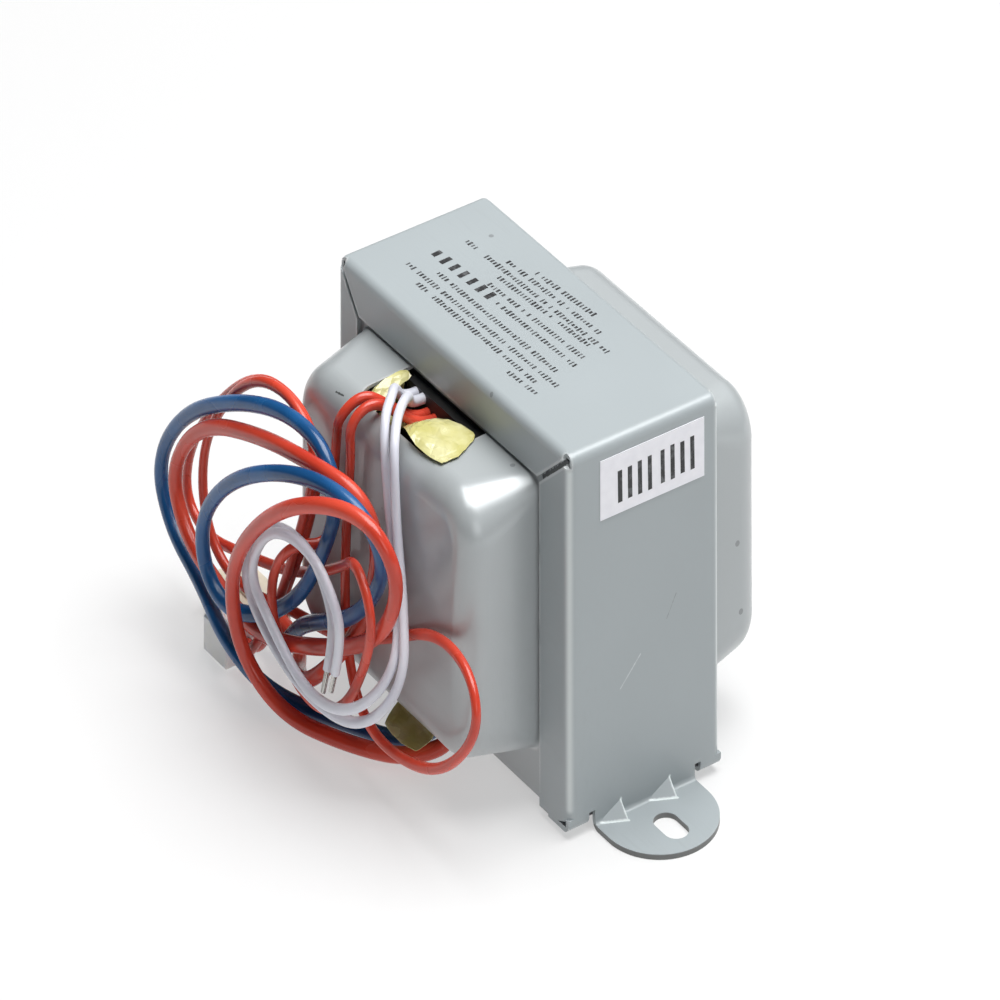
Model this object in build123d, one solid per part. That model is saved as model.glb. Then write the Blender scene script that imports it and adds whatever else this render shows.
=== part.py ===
"""Mains transformer: laminated core and bobbin in a folded channel frame, drawn end bells, flying leads.

Frame: +X towards one foot, -Y towards the bell with the leads, +Z up, origin on the mounting surface
below the middle of the core. Millimetres.
"""
import os
from math import atan2, degrees, hypot, pi, radians, tan

from build123d import *

# Laminated core
LAM_WIDTH = 66.0
LAM_HEIGHT = 55.0
LEG = 11.0
STACK = 28.0

# Channel frame, folded from one sheet
FRAME_SHEET = 0.8
BEND_RADIUS = 1.5
TAB_CLEARANCE = 1.0
TAB_LENGTH = 5.0
TAB_NOTCH = 1.2
NOTCH_RISE = 0.5
LIP_TOP = 6.8
LIP_WIDE = 8.3
LIP_NARROW = 6.0
LIP_END_CUT = 4.0
MITRE_GAP = 0.8
CORNER_HOLE = 2.4

# Mounting feet
OVERALL_LENGTH = 95.0
FOOT_WIDTH = 20.0
FOOT_BEND = 0.7
SLOT_SPACING = 82.0
SLOT_WIDTH = 4.3
SLOT_LENGTH = 7.0
GUSSET_HEIGHT = 2.2
GUSSET_RUN = 4.6
GUSSET_STEP = 0.8
GUSSET_SPACING = 9.8

# Drawn end bells
BELL_SHEET = 0.5
BELL_DEPTH = 15.0
BELL_ROOT_CORNER = 3.0
BELL_FACE_CORNER = 9.0
BELL_EDGE = 4.5
BELL_ROOT = 0.5
BELL_DRAFT = 2.0
LIP_ROOM = 0.6
FLANGE_ROOM = 0.3
WINDOW_WIDTH = 22.0
WINDOW_RIM = 2.9
WINDOW_CORNER = 3.0

# Two-chamber bobbin
BOBBIN_WALL = 1.0
BOBBIN_ROOM = 0.25
BOBBIN_RIM = 9.2
BOBBIN_CORNER = 2.0
GUIDE_HEIGHT = 3.6
GUIDE_WIDTH = 20.5
GUIDE_THICKNESS = 1.8

# Windings and the tape over them
PRIMARY_BUILD = 7.0
INNER_SECONDARY_BUILD = 3.6
OUTER_SECONDARY_BUILD = 2.8
TAPE_BUILD = 0.3
COIL_CORNER = 1.0

# Paper label on the side wall
LABEL_LENGTH = 21.0
LABEL_HEIGHT = 9.0
LABEL_THICKNESS = 0.1
LABEL_SHIFT = 1.5
LABEL_DROP = 2.4

# Ends of the coil tape that come out of the bell's windows
TAPE_SHEET = 0.2
TAPE_INSET = 0.5
TAPE_FOLD = 1.8
TAPE_OVERHANG = 3.5
TAPE_COVER = 6.0
TAPE_DEPTH = 7.5
TAPE_HANG = 5.0
TAPE_REACH = 6.5
TAPE_WIDTH = 10.0
TAPE_SIDE_ROOM = 3.0

# Flying leads
THICK_LEAD = 2.4
THIN_LEAD = 1.6
ARC_SHARE = 0.45
BARE_WIRE = 1.0
BARE_LENGTH = 3.5
ORANGE_EXIT = 1.05
WHITE_EXIT = 2.65

# Connector housings on the lead ends
SMALL_PITCH = 2.5
SMALL_LENGTH = 7.0
SMALL_WIDTH = 6.0
SMALL_HEIGHT = 5.6
LARGE_PITCH = 3.96
LARGE_LENGTH = 14.0
LARGE_WIDTH = 8.0
LARGE_HEIGHT = 5.2
HOUSING_CHAMFER = 0.3
LEAD_SEAT = 2.0
LEAD_PLAY = 0.4
CONTACT_WALL = 0.3
CONTACT_RECESS = 0.6
LATCH_RISE = 0.7
LATCH_START = 0.2
LATCH_END = 0.6
LATCH_WIDTH = 0.5

# The bell face and bell top that the lead routes are laid for
ROUTE_FACE = 28.6
ROUTE_TOP = 50.2

# Places that follow from the sizes above
core_bottom = TAB_CLEARANCE + FRAME_SHEET
core_top = core_bottom + LAM_HEIGHT
core_middle = core_bottom + LAM_HEIGHT / 2
core_face = STACK / 2
wall_inside = LAM_WIDTH / 2
wall_outside = wall_inside + FRAME_SHEET
lip_inside = core_face + BELL_SHEET
lip_outside = lip_inside + FRAME_SHEET
frame_top = core_top + FRAME_SHEET
wall_end = TAB_CLEARANCE + BEND_RADIUS + NOTCH_RISE
lip_left = LIP_NARROW - wall_outside
lip_right = wall_outside - LIP_WIDE
lip_edge_z = frame_top - LIP_TOP
foot_tip = OVERALL_LENGTH / 2
foot_round = FOOT_WIDTH / 2
bell_middle = (lip_left + lip_right) / 2
bell_half_width = (lip_right - lip_left) / 2 - LIP_ROOM
bell_half_height = lip_edge_z - LIP_ROOM - core_middle
coil_window = LAM_HEIGHT - 2 * LEG
bobbin_half_height = coil_window / 2 - BOBBIN_ROOM
chamber_height = bobbin_half_height - 1.5 * BOBBIN_WALL
tube_half_x = LEG + BOBBIN_ROOM + BOBBIN_WALL
tube_half_y = core_face + BOBBIN_ROOM + BOBBIN_WALL
upper_rim = core_middle + bobbin_half_height
lower_rim = core_middle - bobbin_half_height
guide_front = -lip_inside - GUIDE_THICKNESS
bell_face = core_face + BELL_DEPTH
bell_top = core_middle + bell_half_height
window_left = bell_middle - WINDOW_WIDTH / 2
window_right = bell_middle + WINDOW_WIDTH / 2


def box_between(x0, x1, y0, y1, z0, z1):
    """An axis-aligned box from its two corners."""
    return Pos((x0 + x1) / 2, (y0 + y1) / 2, (z0 + z1) / 2) * Box(x1 - x0, y1 - y0, z1 - z0)


def upright(sketch, y0, y1):
    """Extrudes a sketch, drawn as X and Z, from y0 to y1."""
    return Pos(0, y1, 0) * Rot(90, 0, 0) * extrude(sketch, y1 - y0)


def mirrored(shape, plane):
    """The shape together with its mirror image."""
    return shape + mirror(shape, about=plane)


def cut_line(start, end, width):
    """A straight cut of a given width between two points of a sketch, past both by that width."""
    middle = ((start[0] + end[0]) / 2, (start[1] + end[1]) / 2)
    turn = degrees(atan2(end[1] - start[1], end[0] - start[0]))
    length = hypot(end[0] - start[0], end[1] - start[1]) + 2 * width
    return Pos(*middle) * Rot(0, 0, turn) * Rectangle(length, width)


# Channel frame
def lip_cuts():
    """What is taken from the folded box: openings, mitres with round reliefs, slanted lip ends."""
    cuts = Pos(bell_middle, lip_edge_z / 2) * Rectangle(lip_right - lip_left, lip_edge_z)
    corner_x = wall_outside - BEND_RADIUS / 2
    corner_z = frame_top - BEND_RADIUS / 2
    for side, lip_edge in ((-1, lip_left), (1, lip_right)):
        corner = (side * corner_x, corner_z)
        cuts += cut_line(corner, (lip_edge, lip_edge_z), MITRE_GAP) + Pos(*corner) * Circle(CORNER_HOLE / 2)
    lip_end = make_face(Polyline(
        (wall_outside, wall_end), (wall_outside, 0), (wall_outside - LIP_END_CUT, 0),
        (wall_outside - LIP_END_CUT, core_bottom - FRAME_SHEET / 2), close=True))
    return cuts + mirrored(lip_end, Plane.YZ)


def crimp_tab():
    """A tab that bends inwards under the core, beside the foot."""
    section = make_face(Polyline(
        (wall_outside, wall_end), (wall_outside, TAB_CLEARANCE),
        (wall_inside - TAB_LENGTH, TAB_CLEARANCE), (wall_inside - TAB_LENGTH, core_bottom),
        (wall_inside, core_bottom), (wall_inside, wall_end), close=True))
    bend = section.vertices().sort_by_distance((wall_outside, TAB_CLEARANCE))[0]
    return upright(fillet(bend, BEND_RADIUS), -lip_outside, -foot_round - TAB_NOTCH)


def gusset(ridge, inset):
    """A pressed three-sided stiffener in the corner between wall and foot, or the dent behind it."""
    root_x = wall_outside - inset
    root_z = FRAME_SHEET - inset
    rise = make_face(Polyline(
        (root_x, ridge, root_z), (root_x + GUSSET_HEIGHT, ridge, root_z),
        (root_x, ridge, root_z + GUSSET_HEIGHT), close=True))
    long_side = loft([Vertex(root_x, ridge - GUSSET_RUN, root_z), rise])
    short_side = loft([rise, Vertex(root_x, ridge + GUSSET_STEP, root_z)])
    return long_side + short_side


def foot():
    """A slotted foot that bends outwards at the mounting surface."""
    section = make_face(Polyline(
        (wall_inside, wall_end), (wall_inside, 0), (foot_tip, 0), (foot_tip, FRAME_SHEET),
        (wall_outside, FRAME_SHEET), (wall_outside, wall_end), close=True))
    section = fillet(section.vertices().sort_by_distance((wall_inside, 0))[0], FOOT_BEND + FRAME_SHEET)
    section = fillet(section.vertices().sort_by_distance((wall_outside, FRAME_SHEET))[0], FOOT_BEND)
    strip = upright(section, -foot_round, foot_round)
    round_centre = foot_tip - foot_round
    outline = Pos(round_centre, 0) * Circle(foot_round)
    outline += Pos((wall_inside + round_centre) / 2, 0) * Rectangle(round_centre - wall_inside, FOOT_WIDTH)
    outline -= Pos(SLOT_SPACING / 2, 0) * SlotOverall(SLOT_LENGTH, SLOT_WIDTH)
    strip = strip & extrude(outline, wall_end)
    for ridge in (-GUSSET_SPACING / 2, GUSSET_SPACING / 2):
        strip = strip + gusset(ridge, 0) - gusset(ridge, FRAME_SHEET)
    return strip


def channel_frame():
    """Top web, two walls, lips, crimp tabs and feet, all one folded sheet."""
    outside = box_between(-wall_outside, wall_outside, -lip_outside, lip_outside,
                          core_bottom - FRAME_SHEET / 2, frame_top)
    bends = outside.edges().filter_by(Axis.Z) + outside.edges().group_by(Axis.Z)[-1]
    sheet = fillet(bends, BEND_RADIUS)
    sheet -= box_between(-wall_inside, wall_inside, -lip_inside, lip_inside, 0, core_top)
    front_cuts = upright(lip_cuts(), -lip_outside, -lip_inside)
    sheet -= front_cuts
    sheet -= Rot(0, 0, 180) * front_cuts
    for side in (-1, 1):
        middle = side * (wall_inside + wall_outside) / 2
        sheet -= Pos(middle, 0, 0) * Box(FRAME_SHEET, 2 * lip_outside, 2 * wall_end)
    side_ends = foot() + mirrored(crimp_tab(), Plane.XZ)
    return sheet + mirrored(side_ends, Plane.YZ)


# End bells
def bell_form(inset):
    """The drawn form of a bell, drawn in towards its middle by inset, along +Z from the flange."""
    depth = BELL_DEPTH - inset
    narrowing = depth * tan(radians(BELL_DRAFT))

    def section(level, offset, corner):
        outline = RectangleRounded(
            2 * (bell_half_width - offset), 2 * (bell_half_height - offset), corner - inset)
        return Pos(bell_middle, 0, level) * outline

    drawn = loft([section(0, inset, BELL_ROOT_CORNER), section(depth, inset + narrowing, BELL_FACE_CORNER)])
    return fillet(drawn.faces().sort_by(Axis.Z)[-1].edges(), BELL_EDGE - inset)


def lead_window():
    """The opening in a bell's upper wall, with rounded corners towards the front."""
    start = BELL_SHEET
    end = BELL_DEPTH - WINDOW_RIM
    block = Box(WINDOW_WIDTH, 2 * BELL_EDGE, end - start)
    front = block.edges().filter_by(Axis.Y).group_by(Axis.Z)[-1]
    return Pos(bell_middle, bell_half_height, (start + end) / 2) * fillet(front, WINDOW_CORNER)


def bell(windows):
    """A drawn bell on its flange, with or without lead windows above and below, facing -Y."""
    flange_top = LAM_HEIGHT / 2 - FLANGE_ROOM
    flange_middle = (flange_top - LAM_HEIGHT / 2) / 2
    flange = Rectangle(LAM_WIDTH - 2 * FLANGE_ROOM, flange_top + LAM_HEIGHT / 2)
    shell = Pos(0, flange_middle, 0) * extrude(flange, BELL_SHEET) + bell_form(0)
    seat = shell.faces().filter_by(Axis.Z).sort_by(Axis.Z)[1]
    shell = fillet(seat.inner_wires()[0].edges(), BELL_ROOT) - bell_form(BELL_SHEET)
    if windows:
        shell -= mirrored(lead_window(), Plane.XZ)
    return Pos(0, -core_face, core_middle) * Rot(90, 0, 0) * shell


# Core
def e_stack():
    """The stacked E laminations, back at the bottom, legs up."""
    outline = Pos(0, core_bottom + (LAM_HEIGHT - LEG) / 2) * Rectangle(LAM_WIDTH, LAM_HEIGHT - LEG)
    window = Pos(1.5 * LEG, core_bottom + LEG + coil_window / 2) * Rectangle(LEG, coil_window)
    return upright(outline - mirrored(window, Plane.YZ), -core_face, core_face)


def i_stack():
    """The stacked I laminations that close the E legs."""
    return upright(Pos(0, core_top - LEG / 2) * Rectangle(LAM_WIDTH, LEG), -core_face, core_face)


# Bobbin and coil
def ring(inner_build, outer_build, z0, z1, corner):
    """A rounded rectangular ring round the bobbin tube, between two builds out from the tube."""
    def outline(build):
        return RectangleRounded(2 * (tube_half_x + build), 2 * (tube_half_y + build), corner + build)
    face = outline(outer_build) - outline(inner_build)
    return Pos(0, 0, z0) * extrude(face, z1 - z0)


def bobbin():
    """A tube with three rims and a lead guide on the upper and the lower rim."""
    tube = Rectangle(2 * tube_half_x, 2 * tube_half_y)
    tube = fillet(tube.vertices(), COIL_CORNER)
    bore = Rectangle(2 * (tube_half_x - BOBBIN_WALL), 2 * (tube_half_y - BOBBIN_WALL))
    rim_half_x = tube_half_x + BOBBIN_RIM
    rim_half_y = tube_half_y + BOBBIN_RIM
    rim = RectangleRounded(2 * rim_half_x, 2 * rim_half_y, BOBBIN_CORNER)
    body = Pos(0, 0, -bobbin_half_height) * extrude(tube, 2 * bobbin_half_height)
    step = chamber_height + BOBBIN_WALL
    for level in (-1, 0, 1):
        body += Pos(0, 0, level * step - BOBBIN_WALL / 2) * extrude(rim, BOBBIN_WALL)
    guide = box_between(-GUIDE_WIDTH / 2, GUIDE_WIDTH / 2, guide_front, -lip_inside,
                        bobbin_half_height, bobbin_half_height + GUIDE_HEIGHT)
    body += Pos(bell_middle, 0, 0) * mirrored(guide, Plane.XY)
    body -= Pos(0, 0, -bobbin_half_height) * extrude(bore, 2 * bobbin_half_height)
    return Pos(0, 0, core_middle) * body


def coil_pieces():
    """The windings, one above the other on the tube, each with the tape over it."""
    lower = core_middle - bobbin_half_height + BOBBIN_WALL
    upper = core_middle + BOBBIN_WALL / 2
    builds = {
        "primary_winding": (lower, 0, PRIMARY_BUILD),
        "primary_tape": (lower, PRIMARY_BUILD, TAPE_BUILD),
        "inner_secondary": (upper, 0, INNER_SECONDARY_BUILD),
        "secondary_layer_tape": (upper, INNER_SECONDARY_BUILD, TAPE_BUILD),
        "outer_secondary": (upper, INNER_SECONDARY_BUILD + TAPE_BUILD, OUTER_SECONDARY_BUILD),
        "secondary_outer_tape": (
            upper, INNER_SECONDARY_BUILD + TAPE_BUILD + OUTER_SECONDARY_BUILD, TAPE_BUILD),
    }
    return {name: ring(start, start + build, z0, z0 + chamber_height, COIL_CORNER)
            for name, (z0, start, build) in builds.items()}


def side_label():
    """A plain paper label on the right wall."""
    top = frame_top - LABEL_DROP
    return box_between(wall_outside, wall_outside + LABEL_THICKNESS,
                       LABEL_SHIFT - LABEL_LENGTH / 2, LABEL_SHIFT + LABEL_LENGTH / 2,
                       top - LABEL_HEIGHT, top)


# Tape ends
def upper_tape(leg_x, x0, x1):
    """A tape end that stands on the upper rim in the upper window and folds over, from x0 to x1."""
    back = guide_front - TAPE_INSET
    front = back - TAPE_DEPTH
    leg = box_between(leg_x, leg_x + TAPE_SHEET, front, back, upper_rim, bell_top)
    return leg + box_between(x0, x1, front, back, bell_top, bell_top + TAPE_SHEET)


def lower_tape():
    """A tape end that hangs from the lower rim through the lower window and bends forwards."""
    back = guide_front - TAPE_REACH
    x1 = window_right - TAPE_SIDE_ROOM
    x0 = x1 - TAPE_WIDTH
    hanging = box_between(x0, x1, back - TAPE_SHEET, back, TAPE_HANG, lower_rim)
    return hanging + box_between(x0, x1, back - TAPE_REACH, back, TAPE_HANG, TAPE_HANG + TAPE_SHEET)


# Connectors
def housing(length, width, height, pitch, lead_diameter):
    """A two-way housing on the floor, its wire end at the origin, its mating end towards -X."""
    block = chamfer(box_between(-length, 0, -width / 2, width / 2, 0, height).edges(), HOUSING_CHAMFER)
    latch_half = LATCH_WIDTH * width / 2
    block += box_between(-LATCH_END * length, -LATCH_START * length, -latch_half, latch_half,
                         height, height + LATCH_RISE)
    cavity = lead_diameter + LEAD_PLAY
    for side in (-pitch / 2, pitch / 2):
        entry = Pos(-LEAD_SEAT / 2, side, height / 2) * Rot(0, 90, 0) * Cylinder(cavity / 2, LEAD_SEAT)
        block -= entry
        block -= box_between(-length, -LEAD_SEAT, side - cavity / 2, side + cavity / 2,
                             height / 2 - cavity / 2, height / 2 + cavity / 2)
    return block


def contact(length, height, lead_diameter, side):
    """A folded box contact on its cavity's floor, from the lead's end to just inside the mating end."""
    half = lead_diameter / 2
    floor = height / 2 - (lead_diameter + LEAD_PLAY) / 2
    body = box_between(CONTACT_RECESS - length, -LEAD_SEAT, side - half, side + half,
                       floor, floor + lead_diameter)
    opening = box_between(CONTACT_RECESS - length, -2 * LEAD_SEAT,
                          side - half + CONTACT_WALL, side + half - CONTACT_WALL,
                          floor + CONTACT_WALL, floor + lead_diameter - CONTACT_WALL)
    return body - opening


# Leads
def laid(*points):
    """Route points, carried along with the bell's face and scaled with its height."""
    return [(x, y - bell_face + ROUTE_FACE, z * bell_top / ROUTE_TOP) for x, y, z in points]


def lead(name, diameter, points):
    """A round lead along straight runs joined by tangent arcs."""
    radii = []
    for before, corner, after in zip(points, points[1:], points[2:]):
        incoming = Vector(*corner) - Vector(*before)
        outgoing = Vector(*after) - Vector(*corner)
        half_turn = radians(incoming.get_angle(outgoing)) / 2
        radii.append(ARC_SHARE * min(incoming.length, outgoing.length) / tan(half_turn))
    path = FilletPolyline(*points, radius=radii)
    tube = sweep(Plane(origin=path @ 0, z_dir=path % 0) * Circle(diameter / 2), path=path)
    share = tube.volume / (pi * diameter ** 2 / 4 * path.length)
    print(name, "length", round(path.length), "smallest radius", round(min(radii), 1),
          "volume share", round(share, 3))
    return tube


def bare_end(points):
    """The tinned end of a lead, straight on from its last run."""
    end = Vector(*points[-1])
    along = Plane(origin=end, z_dir=end - Vector(*points[-2]))
    return along * Cylinder(BARE_WIRE / 2, BARE_LENGTH, align=(Align.CENTER, Align.CENTER, Align.MIN))


small_end = Vector(*laid((-34.0, -34.0, 0))[0])
large_end = Vector(*laid((-36.0, -26.5, 0))[0])
small_lead = (small_end.X - LEAD_SEAT, small_end.Y, SMALL_HEIGHT / 2)
large_lead = (large_end.X - LEAD_SEAT, large_end.Y, LARGE_HEIGHT / 2)


def below_coil(route):
    """The route, started straight above its first point, at the coil's lower rim."""
    x, y, _ = route[0]
    return [(x, y, lower_rim)] + route


def into(seat, offset, run):
    """The last straight run of a lead into a housing, beside the housing's middle by offset."""
    x, y, z = seat
    return [(x + run, y + offset, z), (x, y + offset, z)]


# The thick leads start below the lower rim, the thin ones at the guide on the upper rim
orange_primary = below_coil(laid(
    (8.5, -18.5, 4.5), (5, -26, 2), (-4, -32.5, 2), (-16.5, -38, 2.5), (-24, -42, 11.5),
    (-22, -44, 26.5), (-4.5, -45, 43), (12.5, -41, 48.5), (19, -37.5, 40), (11, -36.2, 26),
    (-7, -36.6, 16.5), (-23.5, -37.3, 10.5), (-36, -37, 12), (-47, -36.5, 14.5), (-52, -36.5, 23),
    (-43, -36, 34), (-24, -36.5, 41), (-6.5, -37.4, 45), (2.5, -34.7, 44), (4.5, -32.3, 37),
    (2, -31.8, 28), (-1.5, -33, 19.5), (-11, -35, 9), (-21.5, -31, 3.2),
)) + into(large_lead, LARGE_PITCH / 2, 8.0)
blue_primary = below_coil(laid(
    (4.5, -18.5, 4.5), (1.5, -25, 2.5), (-7.5, -30, 2.5), (-20.5, -37, 3), (-31.5, -38.8, 6.5),
    (-43, -36, 9), (-54, -35, 12), (-58.5, -35, 20.5), (-50, -35, 32), (-33.5, -35, 41.5),
    (-19, -34.7, 46.5), (-8.5, -34.1, 45.5), (-4.5, -34.4, 38.5), (-7.5, -35.5, 30), (-14, -35.7, 20.5),
    (-22, -37.7, 14.5), (-30, -39.8, 12.5), (-36, -40.5, 17), (-35, -41, 26), (-23.5, -41.5, 37),
    (-5.5, -40.5, 45.5), (8, -38, 45.5), (12, -35.4, 37), (2.5, -35.6, 25), (-16.5, -33.3, 15),
    (-24.5, -31.5, 7),
)) + into(large_lead, -LARGE_PITCH / 2, 7.5)
orange_ring = [(-5.2, guide_front, upper_rim + ORANGE_EXIT)] + laid(
    (-5.2, -18.8, 46.6), (-6.6, -22.8, 49.4), (-8, -27, 52), (-9.4, -31, 49), (-11.5, -30, 44.5),
    (-12.5, -30, 36), (-10, -32, 29.5), (-12.5, -38.5, 30.5), (-18, -39, 23), (-15, -39.6, 14.5),
    (-8.5, -37, 7), (1, -36.7, 11), (10.5, -38.6, 24), (12.5, -39, 32), (6, -38, 37), (-4, -34.2, 29.5),
    (-23.5, -29.6, 17.5), (-39, -29.6, 13), (-52, -29.8, 10), (-58.5, -29.8, 15), (-53, -30, 27.5),
    (-36.5, -30, 43), (-22.5, -30.5, 45.5), (-15, -30.5, 40), (-17, -32, 28), (-23.5, -32.5, 15),
    (-27.5, -32.75, 7.5),
) + into(small_lead, SMALL_PITCH / 2, 4.5)
orange_hanging = [(-3.2, guide_front, upper_rim + ORANGE_EXIT)] + laid(
    (-3.2, -18.8, 46.6), (-4.6, -22.8, 49.4), (-5.4, -27, 52), (-6.2, -31, 49.5), (-6.5, -30.5, 44),
    (-7.5, -30.5, 36), (-8.2, -30.5, 27), (-7, -31.2, 17), (-1.5, -32.5, 9), (9, -33.5, 7.5),
    (24, -33.5, 11.5), (34.5, -33, 22.5), (30, -31.5, 29.5), (17.5, -30, 29), (3, -29.6, 20.5),
    (-11.5, -29.5, 13.5), (-25, -29.8, 11.5), (-36, -31, 9), (-44.5, -32, 11), (-49.5, -32, 18.5),
    (-47.5, -32, 30), (-34, -32.3, 44.5), (-21, -32, 47), (-13, -32.5, 41.5), (-16.5, -34, 28.5),
    (-22, -34.4, 15.5), (-26.5, -34.8, 8.5),
) + into(small_lead, -SMALL_PITCH / 2, 5.0)
white_outer = [(-8.6, guide_front, upper_rim + WHITE_EXIT)] + laid(
    (-8.6, -18.8, 48.2), (-6.8, -21.6, 51.8), (-2.5, -25, 53.6), (0.8, -28.8, 53), (3.5, -30.5, 48.5),
    (4.5, -30, 38), (8, -30.7, 29), (12.5, -34.5, 21.5), (9, -40.5, 15.5), (-2, -42, 13.5),
    (-13, -42.2, 19.5), (-20.5, -41.7, 24), (-15, -41, 33), (-3, -40.7, 35), (5, -40.7, 29.5),
    (6, -41, 24.5), (4.5, -41, 20),
)
white_inner = [(-6.6, guide_front, upper_rim + WHITE_EXIT)] + laid(
    (-6.6, -18.6, 48.2), (-4, -20.6, 51.4), (-0.5, -24.2, 53.2), (3, -28, 53), (6.5, -30.8, 49.5),
    (7, -30.5, 39), (10.5, -31.5, 30), (14.5, -34, 20.5), (9, -38.5, 12.5), (-3.5, -40.5, 11.5),
    (-16, -41.8, 17), (-24.5, -40.5, 22.5), (-18, -39, 32), (-6, -38.7, 33), (0, -38.8, 27.5),
    (2.2, -39.8, 23.5), (1.7, -40.6, 19),
)


pieces = {
    "channel_frame": channel_frame(),
    "front_bell": bell(windows=True),
    "rear_bell": Rot(0, 0, 180) * bell(windows=False),
    "e_laminations": e_stack(),
    "i_laminations": i_stack(),
    "bobbin": bobbin(),
    **coil_pieces(),
    "side_label": side_label(),
    "left_tape": upper_tape(window_left + TAPE_INSET, window_left + TAPE_INSET,
                            window_left + TAPE_INSET + TAPE_FOLD),
    "right_tape": upper_tape(window_right - TAPE_INSET - TAPE_SHEET, window_right - TAPE_COVER,
                             window_right + TAPE_OVERHANG),
    "lower_tape": lower_tape(),
    "orange_primary_lead": lead("orange_primary_lead", THICK_LEAD, orange_primary),
    "blue_primary_lead": lead("blue_primary_lead", THICK_LEAD, blue_primary),
    "orange_ring_lead": lead("orange_ring_lead", THIN_LEAD, orange_ring),
    "orange_hanging_lead": lead("orange_hanging_lead", THIN_LEAD, orange_hanging),
    "white_outer_lead": lead("white_outer_lead", THIN_LEAD, white_outer),
    "white_inner_lead": lead("white_inner_lead", THIN_LEAD, white_inner),
    "white_outer_tip": bare_end(white_outer),
    "white_inner_tip": bare_end(white_inner),
    "front_connector": Pos(small_end) * housing(
        SMALL_LENGTH, SMALL_WIDTH, SMALL_HEIGHT, SMALL_PITCH, THIN_LEAD),
    "rear_connector": Pos(large_end) * housing(
        LARGE_LENGTH, LARGE_WIDTH, LARGE_HEIGHT, LARGE_PITCH, THICK_LEAD),
}
for number, side in enumerate((-1, 1), start=1):
    pieces[f"front_contact_{number}"] = Pos(small_end) * contact(
        SMALL_LENGTH, SMALL_HEIGHT, THIN_LEAD, side * SMALL_PITCH / 2)
    pieces[f"rear_contact_{number}"] = Pos(large_end) * contact(
        LARGE_LENGTH, LARGE_HEIGHT, THICK_LEAD, side * LARGE_PITCH / 2)

os.makedirs("parts", exist_ok=True)
for name, piece in pieces.items():
    export_step(piece, f"parts/{name}.step")
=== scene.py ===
"""Looks of a small mains transformer: painted channel frame, drawn end bells, coil tape and flying leads.

Metres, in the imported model's frame: +X towards the foot under the label, -Y out of the bell with the leads,
+Z up.
"""
import math

import bpy
from mathutils import Matrix, Vector, noise


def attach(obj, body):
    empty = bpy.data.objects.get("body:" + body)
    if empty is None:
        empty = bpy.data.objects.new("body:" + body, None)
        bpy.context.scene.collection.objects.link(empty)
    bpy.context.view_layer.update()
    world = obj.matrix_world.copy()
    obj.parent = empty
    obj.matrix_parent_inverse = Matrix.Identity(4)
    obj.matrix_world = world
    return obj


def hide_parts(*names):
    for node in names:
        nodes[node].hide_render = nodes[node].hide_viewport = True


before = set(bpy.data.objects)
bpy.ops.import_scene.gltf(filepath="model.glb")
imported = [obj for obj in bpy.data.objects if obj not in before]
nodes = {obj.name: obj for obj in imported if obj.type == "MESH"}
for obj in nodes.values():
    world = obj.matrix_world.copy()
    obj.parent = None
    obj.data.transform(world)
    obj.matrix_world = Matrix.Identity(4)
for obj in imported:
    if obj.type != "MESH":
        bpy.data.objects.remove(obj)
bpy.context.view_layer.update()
MM = 0.001

# Sizes repeated from the model, in millimetres
FRAME_TOP = 57.6
WALL_FACE = 33.8
LIP_FACE = 15.3
LIP_TOP = 6.8
LIP_WIDE = 8.3
LIP_NARROW = 6.0
BEND_RADIUS = 1.5
FLANGE_FACE = 14.5
FOOT_TOP = 0.8
GUSSET_HEIGHT = 2.2
GUSSET_RUN = 4.6
GUSSET_SPACING = 9.8
LABEL_FACE = 33.9
CORE_BOTTOM = 1.8
LAM_WIDTH = 66.0
LAM_HEIGHT = 55.0
LEG = 11.0
STACK = 28.0
THICK_LEAD = 2.4
THIN_LEAD = 1.6
BARE_LENGTH = 3.5
LEAD_SHIFT = -0.4

# Sizes of the looks alone, in millimetres, with their counts and the seed of the tape's creases
SHEET_COUNT = 56
SHEET_THICK = 0.47
SHEET_PLAY = 0.06
CORE_MARGIN = 0.1
CORE_LIFT = 0.05
INK_LIFT = 0.015
TAPE_THICK = 0.08
TAPE_SEED = 7
STRAND_COUNT = 6
STRAND_RADIUS = 0.18
STRAND_LAY = 0.32
STRAND_TURNS = 0.8


# Node helpers
def add(tree, kind, inputs=None, **settings):
    """A node with its settings; each named input takes a value or a joined socket."""
    node = tree.nodes.new(kind)
    for name, value in settings.items():
        setattr(node, name, value)
    for name, value in (inputs or {}).items():
        if isinstance(value, bpy.types.NodeSocket):
            tree.links.new(value, node.inputs[name])
        else:
            node.inputs[name].default_value = value
    return node


def maths(tree, operation, first, second=0.5):
    """The result of one Math node."""
    return add(tree, "ShaderNodeMath", {0: first, 1: second}, operation=operation).outputs[0]


def vectors(tree, operation, first, second, result="Vector"):
    """The result of one Vector Math node."""
    return add(tree, "ShaderNodeVectorMath", {0: first, 1: second}, operation=operation).outputs[result]


def graded(tree, value, low, high, start=0.0, end=1.0):
    """A value taken from the range low to high smoothly into start to end."""
    return add(tree, "ShaderNodeMapRange", {
        "Value": value, "From Min": low, "From Max": high, "To Min": start, "To Max": end,
    }, interpolation_type="SMOOTHSTEP").outputs["Result"]


def blended(tree, share, first, second):
    """Two colours mixed by a share."""
    mix = add(tree, "ShaderNodeMix", data_type="RGBA")
    for socket, value in zip((mix.inputs[0], mix.inputs[6], mix.inputs[7]), (share, first, second)):
        if isinstance(value, bpy.types.NodeSocket):
            tree.links.new(value, socket)
        else:
            socket.default_value = value
    return mix.outputs[2]


def clouds(tree, place, scale, detail, **inputs):
    """The value of one Noise node."""
    return add(tree, "ShaderNodeTexNoise", {
        "Vector": place, "Scale": scale, "Detail": detail, **inputs}).outputs["Fac"]


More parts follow.
